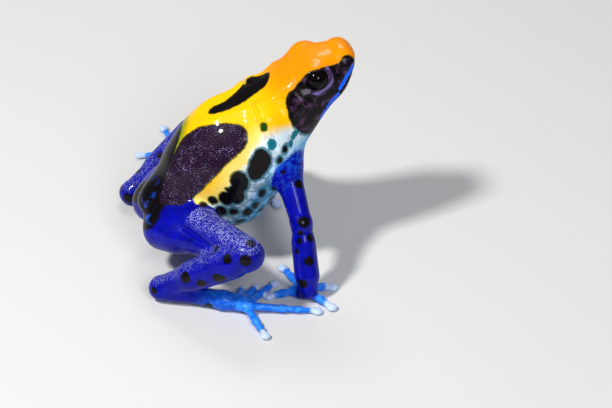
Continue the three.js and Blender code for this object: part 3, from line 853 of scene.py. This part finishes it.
# %% Yellow, orange, belly and throat
# how far round the yellow reaches at places along the body
yellow_reach = np.array([
    (5, 12), (9, 12.2), (10.1, 12.4), (11, 12.9), (12, 13.1), (13.9, 12.3), (14.7, 12), (16, 11.3),
    (17.1, 10.8), (19.8, 10.8), (20.6, 10.2), (22, 9.7), (23.5, 9.5), (25, 9.1), (26.5, 9.7),
    (28, 10.6), (29.5, 11.8), (31, 13),
])
belly = np.abs(girth) - np.interp(along, *yellow_reach.T)
crown = smoothstep(25, 33.5, along - 0.5 * np.maximum(np.abs(girth) - 3, 0))
throat = smoothstep(29.5, 36, along) * smoothstep(12, 14, np.abs(girth))
tell(belly=belly > 0, crown=crown, throat=throat)


# %% Blue limbs
def out_along_arm(j):
    own_half = np.sign(points[:, 1]) == j["side"]
    return (points - j["shoulder"]) @ j["upper_arm_aim"] * own_half


on_arm = arm_d < leg_d
inside_limb = trunk_d - nearest_limb
arm_out = np.max([out_along_arm(j) for j in joints.values()], axis=0)
arm_top = smoothstep(8.5, 1.0, arm_out) * on_arm
blue_arm = smoothstep(-3.4, -0.9, arm_out) * smoothstep(-1.6, -0.2, inside_limb)
hip_blue = smoothstep(9.6, 8.2, along) * smoothstep(-0.9, -0.3, hip_line)
blue = np.where(on_arm, blue_arm, np.maximum(hip_blue, smoothstep(-0.9, 0.1, inside_limb)))
tell(arm_top=arm_top, blue=blue)


# %% Pale digits and discs
def limbs_distance(leg_part, arm_part):
    """The distance from a part of each limb's list of forms."""
    reaches = []
    for key, parts in limb_parts.items():
        picked = parts[leg_part if key.startswith("leg") else arm_part]
        reaches.append(parts_distance(picked, points, 3.0))
    return np.min(reaches, axis=0)


digit_d = limbs_distance(slice(4, None), slice(3, None))
rest_d = limbs_distance(slice(3), slice(2))
pale = smoothstep(-0.5, 0.9, rest_d - digit_d)
for j in joints.values():
    sole_aim = unit(j["ball"] - j["heel"])
    out = (points - j["heel"]) @ sole_aim
    off_line = np.linalg.norm(points - j["heel"] - out[:, None] * sole_aim, axis=1)
    on_foot = (off_line < 2.6) & (leg_d < 0.4) & (points[:, 2] < 4.2)
    pale = np.maximum(pale, 0.55 * smoothstep(3.5, 11, out) * on_foot)
tips = np.zeros(len(points))
for tip, disc in discs:
    beyond = np.linalg.norm(points - tip, axis=1)
    tips = np.maximum(tips, (1 - smoothstep(disc, disc * 2.0, beyond)) * (pale > 0.5))
tell(pale=pale, tips=tips)

# %% Where the skin is grainy
# how much each point of a thigh or shank faces up; it makes the skin grainier there, and the material paints a
# highlight on it
top_of_leg = np.zeros(len(points))
for j in joints.values():
    for a, b, weight in ((j["hip"], j["knee"], 1.0), (j["knee"], j["heel"], 0.55)):
        t = np.clip((points - a) @ (b - a) / ((b - a) @ (b - a)), 0, 1)
        outward = points - a - t[:, None] * (b - a)
        rise = outward[:, 2] / np.maximum(np.linalg.norm(outward, axis=1), 1e-6)
        here = np.linalg.norm(outward, axis=1) < 3.6
        top_of_leg = np.maximum(top_of_leg, weight * here * smoothstep(0.35, 0.95, rise))
leg_grain = 0.25 + 0.75 * top_of_leg
trunk_grain = smoothstep(0.6, -0.6, flank) + 0.5 * smoothstep(-0.5, 1.5, belly)
grain = np.clip(np.where(limb > 0.5, leg_grain, trunk_grain), 0, 1) * (1 - pale)
tell(top_of_leg=top_of_leg, grain=grain)

# %% [markdown]
# ## Small relief
# A soft skin folds where the neck bends, the mouth is a fine groove under the lip, and the eardrum
# is a shallow dish with a raised ring. These are too small for forms of their own and too large
# for a bump texture, so each point of the skin is moved in or out a little along its normal.

# %% Mouth line and folds
def groove(distance, depth, width):
    """A soft groove along a line; a negative depth makes a ridge."""
    return -depth * np.exp(-((distance / width) ** 2))


# the mouth rises by 0.3 for each millimetre ahead of its corner
mouth_corner, mouth_rise = 35.4, 0.3
above_mouth = (up - mouth_rise * (along - mouth_corner)) * math.cos(math.radians(16.7))
in_mouth = smoothstep(35.2, 36.2, along)
relief = groove(above_mouth, 0.3, 0.16) * in_mouth
relief += groove(above_mouth - 0.45, -0.12, 0.3) * in_mouth
# the line, depth and width of three folds and of two ridges
fold_lines = [
    ([(26.4, 2.6), (26.2, 3.6), (26.15, 4.9), (26.0, 6.2), (25.6, 7.2)], 0.42, 0.32),
    ([(33.0, 2.0), (34.0, 2.2), (35.1, 2.8), (34.9, 4.2)], 0.14, 0.3),
    ([(37.9, 1.6), (36.7, 1.8), (35.7, 2.4), (35.9, 3.8)], 0.12, 0.3),
    ([(26.9, 4.3), (28.4, 4.9), (30.5, 4.6), (31.8, 4.9)], -0.3, 0.8),
    ([(25.5, 4.0), (24.3, 3.4), (23, 3.0), (21.7, 2.7), (20.3, 2.7), (18.6, 2.6), (17, 1.6)],
     -0.28, 0.8),
]
for line, depth, width in fold_lines:
    for outline in (line, mirrored(line, 0.3, 0.2)):
        relief += groove(to_line(unrolled, rounded(outline, False)), depth, width) * (limb < 0.5)
print("the deepest fold is", -relief.min().round(2), "mm deep")

# %% Eardrum, thigh crease and lower lid
relief += groove(eardrum - 1.05, -0.06, 0.3) - 0.07 * smoothstep(1.0, 0.5, eardrum)
for j in joints.values():
    above_bone, behind_bone = (muscle.distance(points) for muscle in j["thigh_muscles"])
    on_thigh = smoothstep(1.4, 0.7, np.maximum(above_bone, behind_bone)) * (limb > 0.5)
    relief += groove(above_bone - behind_bone, 0.45, 0.32) * on_thigh
points += normals * relief[:, None]
points[:, 2] = np.maximum(points[:, 2], 0)
lower_lid = np.zeros(len(points))
for eye in eye_frames:
    u, v, _, far = eye_angles(points, *eye)
    close = far < eye_radius + 0.8
    rim_line = np.exp(-(((opening_distance(points, eye) - 0.17) / 0.075) ** 2))
    lower_lid = np.maximum(lower_lid, rim_line * smoothstep(0.12, -0.08, v - 0.45 * u) * close)
print("relief from", relief.min().round(2), "to", relief.max().round(2), "mm")

# %% [markdown]
# ## The skin as a mesh
# foreach_set hands whole arrays to Blender at once, which is far quicker than point by point.
# The shares and distances go along as attributes of the points, and the material reads them.

# %% Making the skin object
def mesh_from(name, points, quads, attributes):
    mesh = bpy.data.meshes.new(name)
    mesh.vertices.add(len(points))
    mesh.vertices.foreach_set("co", ((points - shift) * 0.001).astype(np.float32).ravel())
    mesh.loops.add(quads.size)
    mesh.loops.foreach_set("vertex_index", quads.astype(np.int32).ravel())
    mesh.polygons.add(len(quads))
    mesh.polygons.foreach_set("loop_start", np.arange(0, quads.size, 4, dtype=np.int32))
    mesh.update(calc_edges=True)
    mesh.validate()
    mesh.shade_smooth()
    for key, values in attributes.items():
        layer = mesh.attributes.new(key, "FLOAT", "POINT")
        layer.data.foreach_set("value", np.asarray(values, np.float32))
    thing = bpy.data.objects.new(name, mesh)
    bpy.context.scene.collection.objects.link(thing)
    return thing


def trunk_only(distance, elsewhere=9):
    """On a limb the marking counts as far away."""
    return np.where(limb > 0.5, elsewhere, distance)


skin = mesh_from("skin", points, quads, {
    "mask": trunk_only(mask), "green": trunk_only(green_d), "lip": trunk_only(lip),
    "rump": trunk_only(rump), "black": black, "flank": flank, "belly": belly, "crown": crown,
    "throat": throat, "limb": limb, "blue": blue, "arm_top": arm_top, "pale": pale, "tips": tips,
    "grain": grain, "top_of_leg": top_of_leg, "eardrum": eardrum, "lower_lid": lower_lid,
    "along": along,
})
print("skin has", len(skin.data.polygons), "faces,", round(time.time() - started, 1), "s")

# %% [markdown]
# ## Writing materials as sums
# Node trees are hard to read as code. Here a socket is wrapped in a small class that knows
# the arithmetic signs, so that a * 2 + b adds the Math nodes by itself. Any other node comes from
# one method, which takes its type, its settings and what goes into its sockets.

# %% Sockets with arithmetic
class Socket:
    def __init__(self, material, socket):
        self.material = material
        self.socket = socket

    def math(self, operation, *values):
        settings = {"operation": operation}
        return self.material.node("ShaderNodeMath", settings, dict(enumerate(values)))

    def __add__(self, other):
        return self.math("ADD", self, other)

    __radd__ = __add__

    def __sub__(self, other):
        return self.math("SUBTRACT", self, other)

    def __rsub__(self, other):
        return self.math("SUBTRACT", other, self)

    def __mul__(self, other):
        return self.math("MULTIPLY", self, other)

    __rmul__ = __mul__

    def __truediv__(self, other):
        return self.math("DIVIDE", self, other)


# %% Nodes from one method, and colours
class Material:
    def __init__(self, name):
        self.data = bpy.data.materials.new(name)
        self.data.use_nodes = True
        self.tree = self.data.node_tree
        self.tree.nodes.clear()

    def node(self, kind, settings=None, sockets=None, output=0):
        """Add a node, set it up, fill its sockets with values or links, and give its output."""
        made = self.tree.nodes.new(kind)
        for key, value in (settings or {}).items():
            setattr(made, key, value)
        for key, value in (sockets or {}).items():
            if isinstance(value, Socket):
                self.tree.links.new(value.socket, made.inputs[key])
            else:
                made.inputs[key].default_value = value
        return Socket(self, made.outputs[output]) if made.outputs else made

    def attribute(self, name):
        return self.node("ShaderNodeAttribute", {"attribute_name": name}, output=2)

    def mix(self, share, a, b):
        """Colour a where share is 0, and colour b where it is 1."""
        return self.node("ShaderNodeMix", {"data_type": "RGBA"}, {0: share, 6: a, 7: b}, output=2)

    def ramp_up(self, value, low, high):
        """0 below low, 1 above high, smooth between them; swap them to fall instead."""
        if low > high:
            return 1 - self.ramp_up(value, high, low)
        sockets = {0: value, 1: low, 2: high, 3: 0.0, 4: 1.0}
        return self.node("ShaderNodeMapRange", {"interpolation_type": "SMOOTHSTEP"}, sockets)

    def vector(self, operation, a, b=None, by=None):
        sockets = {0: a} if b is None else {0: a, 1: b}
        if by is not None:
            sockets["Scale"] = by
        return self.node("ShaderNodeVectorMath", {"operation": operation}, sockets)

    def noise(self, place, per_mm, detail=2.0, output=0):
        sockets = {"Vector": place, "Scale": per_mm * 1000, "Detail": detail}
        return self.node("ShaderNodeTexNoise", {}, sockets, output)

    def cells(self, place, per_mm, feature="F1"):
        sockets = {"Vector": place, "Scale": per_mm * 1000}
        return self.node("ShaderNodeTexVoronoi", {"feature": feature}, sockets)


def colour(red, green, blue):
    """A colour read off a screen, 0 to 255, as light."""
    def light(v):
        v /= 255
        return v / 12.92 if v <= 0.04045 else ((v + 0.055) / 1.055) ** 2.4

    return (light(red), light(green), light(blue), 1)


# %% [markdown]
# ## The skin's pigment
# A dart frog's skin has a clear moist film over strong pigment. The edges between colours wander
# a little, so a fine noise is added to each distance before it is turned into a share.

# %% Where the pigments meet
moist = Material("moist_skin")
place = moist.node("ShaderNodeTexCoord", output=3)
wander = (moist.noise(place, 1.1, 3.0) - 0.5) * 0.7
ragged = (moist.noise(place, 4.0, 2.0) - 0.5) * 0.35
edge = wander + ragged
black_at = moist.attribute("black") + edge * 0.8
limb_at, along_at = moist.attribute("limb"), moist.attribute("along")
belly_at, rump_at = moist.attribute("belly"), moist.attribute("rump")
print("the moist skin begins with", len(moist.tree.nodes), "nodes")

# %% Orange crown and yellow back
yellow = moist.mix(moist.attribute("crown"), colour(252, 194, 0), colour(250, 142, 0))
near_belly = moist.ramp_up(belly_at + wander, -3.6, -0.2)
pale_yellow = moist.mix(near_belly, yellow, colour(252, 226, 120))
shoulder_yellow = moist.mix(moist.ramp_up(along_at, 24.0, 27.0), pale_yellow, yellow)
olive_share = moist.ramp_up(rump_at + wander, 2.6, 0.5) * moist.ramp_up(along_at, 18.0, 14.5)
upper_colour = moist.mix(olive_share * 0.85, shoulder_yellow, colour(116, 138, 0))
print(len(moist.tree.nodes), "nodes with the back")

# %% Pale blue belly and dark blue throat
belly_low = moist.ramp_up(belly_at + wander * 3, 2.5, 6.5)
belly_blue = moist.mix(belly_low, colour(222, 240, 250), colour(100, 182, 236))
blotch = moist.ramp_up(moist.noise(place, 0.9, 3.0), 0.5, 0.66)
lower_colour = moist.mix(blotch * 0.35, belly_blue, colour(24, 112, 160))
sway = moist.vector("SCALE", moist.noise(place, 0.9, 2.0, output=1), by=0.0011)
net_place = moist.vector("ADD", place, sway)
net = moist.ramp_up(moist.cells(net_place, 0.5, "DISTANCE_TO_EDGE"), 0.17, 0.05)
net_reach = moist.ramp_up(belly_at + wander, 1.2, 2.6) * moist.ramp_up(along_at, 27.0, 21.0)
lower_colour = moist.mix(net * net_reach * 0.6, lower_colour, colour(8, 84, 112))
shoulder_soft = (belly_at + wander * 1.6) / (1 + 1.5 * moist.ramp_up(along_at, 21.0, 26.0))
ground = moist.mix(moist.ramp_up(shoulder_soft, -0.6, 0.5), upper_colour, lower_colour)
throat_blue = moist.mix(blotch, colour(12, 62, 205), colour(6, 22, 120))
ground = moist.mix(moist.attribute("throat") * 0.85, ground, throat_blue)
print(len(moist.tree.nodes), "nodes with the belly")

# %% Deep blue limbs with pale digits
limb_tone = moist.mix(moist.noise(place, 0.5, 3.0), colour(1, 1, 96), colour(4, 12, 186))
mottle = moist.ramp_up(moist.noise(place, 1.1, 3.0), 0.42, 0.62)
limb_tone = moist.mix(moist.attribute("arm_top") * mottle * 0.6, limb_tone, colour(16, 92, 220))
pale_blue = moist.mix(mottle, colour(24, 116, 248), colour(56, 146, 255))
pale_share = moist.ramp_up(moist.attribute("pale") + edge * 0.5, 0.0, 1.0)
foot_tone = moist.mix(pale_share, limb_tone, pale_blue)
tip_share = moist.ramp_up(moist.attribute("tips") + edge * 0.3, 0.15, 1.0)
digit_tone = moist.mix(tip_share, foot_tone, colour(196, 216, 252))
blue_share = moist.ramp_up(moist.attribute("blue") + edge * 0.8, 0.3, 0.7)
ground = moist.mix(blue_share, ground, digit_tone)
print(len(moist.tree.nodes), "nodes with the limbs")

# %% [markdown]
# ## Rims, black and painted glints
# On the belly each black spot has a teal rim, and on the back the rims are a narrow dark green.
# The black of the flanks and the tops of the thighs are strewn with tiny pale grains, painted glints
# of wet granules. A cell texture gives the grains, because each cell has one middle, and a slow
# noise changes their size.

# %% Rims and green spots
rim_width = 0.28 + 0.35 * moist.ramp_up(belly_at, -0.5, 1.0)
rim = moist.ramp_up(black_at / rim_width, 1.0, 0.35) * (1 - limb_at) * (1 - blue_share)
rim_tone = moist.mix(moist.ramp_up(belly_at, -0.5, 0.8), colour(70, 90, 0), colour(10, 105, 125))
ground = moist.mix(rim * 0.85, ground, rim_tone)
green_share = moist.ramp_up(moist.attribute("green") + edge, 0.25, -0.15)
green_tone = moist.mix(moist.ramp_up(belly_at, -1.0, 1.0), colour(30, 70, 10), colour(10, 110, 130))
ground = moist.mix(green_share, ground, green_tone)
print(len(moist.tree.nodes), "nodes with the rims")

# %% Black with a purple cast, painted violet sheen and painted glints
grain_share = moist.attribute("grain")
grain_size = moist.ramp_up(moist.noise(place, 0.55, 3.0), 0.3, 0.8)
glint_speck = moist.ramp_up(moist.cells(place, 3.7) - grain_size * 0.3, 0.16, 0.02)
flank_share = moist.ramp_up(moist.attribute("flank"), 0.3, -0.3) * (1 - limb_at)
mask_share = moist.ramp_up(moist.attribute("mask"), 0.2, -0.4) * (1 - limb_at)
purple_black = moist.mix(moist.noise(place, 0.35, 3.0), colour(10, 4, 14), colour(46, 20, 52))
jet = moist.mix(flank_share, colour(10, 6, 7), purple_black)
# painted violet sheen: noisy lighter violet patches on the black mask
violet_sheen = moist.ramp_up(moist.noise(place, 0.7, 4.0), 0.48, 0.72) * mask_share
jet = moist.mix(violet_sheen * 0.75, jet, colour(88, 58, 98))
# painted glints: pale specks on the flank black stand in for light glinting off wet granules
jet = moist.mix(glint_speck * flank_share * 0.6, jet, colour(160, 148, 206))
black_share = moist.ramp_up(black_at, 0.15, -0.12)
pigment = moist.mix(black_share, ground, jet)
print(len(moist.tree.nodes), "nodes with the black")

# %% Painted highlight on the thigh tops, and blue flecks of the rump
# painted highlight: the upward-facing tops of the legs get a lighter blue and pale glints, as where light from
# above falls on wet granules
lit_top_band = moist.attribute("top_of_leg") * limb_at * (1 - black_share * 0.8)
pigment = moist.mix(lit_top_band * 0.3, pigment, colour(64, 66, 176))
uneven = (moist.noise(place, 0.8, 2.0) - 0.5) * 0.5
leg_glints = moist.ramp_up(moist.cells(place, 3.6) + uneven, 0.5, 0.28)
pigment = moist.mix(leg_glints * lit_top_band * 0.66, pigment, colour(186, 192, 240))
fleck = moist.ramp_up(moist.noise(place, 0.7, 3.0), 0.54, 0.76)
fleck = fleck * moist.ramp_up(rump_at + wander, -3.0, -0.6) * moist.ramp_up(along_at, 6.5, 3.5)
fleck = fleck * black_share * (1 - flank_share) * moist.ramp_up(rump_at, 0.2, -0.1)
pigment = moist.mix(fleck, pigment, colour(24, 84, 226))
print(len(moist.tree.nodes), "nodes with the flecks")

# %% Lip stripe, eardrum and lower lid
lip_share = moist.ramp_up(moist.attribute("lip") + edge * 0.6, 0.5, 0.25)
pigment = moist.mix(lip_share, pigment, colour(20, 100, 255))
eardrum_at = moist.attribute("eardrum")
drum_rim = moist.ramp_up(eardrum_at, 0.85, 1.0) * moist.ramp_up(eardrum_at, 1.35, 1.15)
pigment = moist.mix(drum_rim * 0.14, pigment, colour(120, 80, 110))
pigment = moist.mix(moist.attribute("lower_lid") * 0.9, pigment, colour(140, 118, 200))
print(len(moist.tree.nodes), "nodes with the head")

# %% [markdown]
# ## Film and fine grain
# The living skin has rounded granules on the flanks and thighs, fine pores all over, and a thin wet
# film. Modelling each granule would take millions of faces, so a bump tilts the surface's normal
# instead. The film is the shader's coat, the same all over, so its values stand on the shader.

# %% Film and fine grain
granules = moist.cells(place, 3.4, "SMOOTH_F1")
pores = moist.noise(place, 9.0, 2.0)
relief_height = (0.6 - granules) * grain_share * 1.1 + pores * 0.18 + glint_speck * grain_share * 0.3
bump = moist.node("ShaderNodeBump", {}, {
    "Strength": 0.9, "Distance": 0.00014, "Height": relief_height,
})
roughness = 0.3 + 0.12 * grain_share + (pores - 0.5) * 0.1
shader = moist.node("ShaderNodeBsdfPrincipled", {}, {
    "Base Color": pigment, "Roughness": roughness, "Normal": bump,
    "Coat Weight": 0.24, "Coat Roughness": 0.08, "IOR": 1.4, "Specular IOR Level": 0.09,
})
moist.node("ShaderNodeOutputMaterial", {}, {"Surface": shader})
skin.data.materials.append(moist.data)

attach(skin, "root")
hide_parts(*flesh_nodes)
print("the skin stands for", len(flesh_nodes), "solids")

# %% [markdown]
# ## Eyes
# This species has almost black eyes, so the eye reads as a wet black bead. A ball with a very
# smooth surface gives that. The ball stays a piece of its own, as it turns in its socket in life.
# A faint brown ring round the pupil, which needs to know how far outward each point lies, keeps
# the eye from looking like a hole.

# %% Two wet black eyes
wet = Material("wet_eye")
ball_place = wet.node("ShaderNodeTexCoord", output=3)


def add_eye(name, eye):
    centre, aim, forward, above = eye
    bpy.ops.mesh.primitive_uv_sphere_add(segments=64, ring_count=40, radius=eye_radius * 0.001)
    ball = bpy.context.object
    ball.name = name
    turn = Matrix((forward, above, aim)).transposed()
    middle = (centre - shift) * 0.001
    ball.data.transform(Matrix.Translation(middle) @ turn.to_4x4())
    from_middle = np.array([v.co for v in ball.data.vertices]) - middle
    layer = ball.data.attributes.new("outward", "FLOAT", "POINT")
    layer.data.foreach_set("value", (from_middle @ aim / (eye_radius * 0.001)).astype(np.float32))
    ball.data.shade_smooth()
    ball.data.materials.append(wet.data)
    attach(ball, "root")
    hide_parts(name.replace("ball", "eye"))
    print(name, "is", round(eye_radius * 2, 2), "mm across")


outward = wet.attribute("outward")
iris = wet.ramp_up(outward, 0.62, 0.8) * wet.ramp_up(outward, 0.9, 0.86)
streaks = wet.noise(ball_place, 3.0, 2.0)
eye_colour = wet.mix(iris * streaks * 0.6, colour(3, 2, 4), colour(26, 15, 14))
gloss = wet.node("ShaderNodeBsdfPrincipled", {}, {
    "Base Color": eye_colour, "Roughness": 0.04, "IOR": 1.38, "Specular IOR Level": 0.2,
})
wet.node("ShaderNodeOutputMaterial", {}, {"Surface": gloss})
for name, eye in zip(("ball_right", "ball_left"), eye_frames):
    add_eye(name, eye)

# %% [markdown]
# ## Studio
# A plain pale floor that is also the backdrop, and a pale surround that fills the shadows. The key
# light is small and stands high on the left, as in the photograph, where it leaves the crisp
# glints of a wet skin. A broad light near the camera and a weak one behind the frog soften it.

# %% Floor and surround
scene = bpy.context.scene
bpy.ops.mesh.primitive_plane_add(size=6, location=(0, 0, -0.00002))
floor = bpy.context.object
floor.name = "floor"
paper = Material("pale_floor")
paper_shader = paper.node("ShaderNodeBsdfPrincipled", {}, {
    "Base Color": (0.68, 0.68, 0.67, 1), "Roughness": 0.9,
})
paper.node("ShaderNodeOutputMaterial", {}, {"Surface": paper_shader})
floor.data.materials.append(paper.data)
floor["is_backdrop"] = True

world = bpy.data.worlds.new("studio")
world.use_nodes = True
surround = world.node_tree.nodes["Background"].inputs
surround["Color"].default_value = (0.86, 0.9, 1.0, 1)
surround["Strength"].default_value = 0.13
scene.world = world


# %% Lights
def soft_light(name, place, size, power, tint=(1, 1, 1)):
    lamp = bpy.data.lights.new(name, "AREA")
    lamp.shape = "DISK"
    lamp.size = size
    lamp.energy = power
    lamp.color = tint
    thing = bpy.data.objects.new(name, lamp)
    thing.location = place
    aim = -Vector(place)
    aim.z += 0.02
    thing.rotation_euler = aim.to_track_quat("-Z", "Y").to_euler()
    scene.collection.objects.link(thing)
    thing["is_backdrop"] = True
    print(name, "of", power, "W,", size, "m across")


soft_light("key_light", (-0.27, -0.1, 0.42), 0.065, 2.3, (1, 0.98, 0.95))
soft_light("front_light", (0.05, -0.5, 0.4), 0.25, 1.6, (0.97, 0.98, 1))
soft_light("rim_light", (0.1, 0.4, 0.45), 0.2, 0.9)
scene.view_settings.view_transform = "Standard"

# %% [markdown]
# ## Camera
# The photograph was taken with a long lens from the frog's right, a little in front and 34 degrees
# above it. The camera stands there and is rolled by about one degree, as the photographer's was.

# %% The photograph's view
azimuth, elevation, roll = (math.radians(v) for v in (-15.6, 34.1, -1.1))
image_right = np.array([math.cos(azimuth), math.sin(azimuth), 0])
flat = math.cos(elevation)
view_line = np.array([-math.sin(azimuth) * flat, math.cos(azimuth) * flat, -math.sin(elevation)])
image_up = np.cross(image_right, view_line)
right = math.cos(roll) * image_right - math.sin(roll) * image_up
upward = math.sin(roll) * image_right + math.cos(roll) * image_up
# the middle of the picture, and how wide the picture is there
target = 25.48 * image_right + 9.32 * image_up - 11.45 * view_line
picture_width = 103.9
lens = bpy.data.cameras.new("camera")
lens.lens = 180
lens.sensor_width = 36
distance = picture_width * lens.lens / lens.sensor_width
camera = bpy.data.objects.new("camera", lens)
stand = (target - view_line * distance - shift) * 0.001
turn = Matrix((right, upward, -view_line)).transposed().to_4x4()
camera.matrix_world = Matrix.Translation(stand) @ turn
lens.clip_start, lens.clip_end = 0.05, 20
scene.collection.objects.link(camera)
scene.camera = camera
print("camera", round(distance / 1000, 3), "m away")

# %% Sizes and finish
sizes = {"cad": [list(map(float, c)) for c in cad_box], "scene": [list(map(float, c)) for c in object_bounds()]}
print("sizes", sizes, "in", round(time.time() - started, 1), "s")
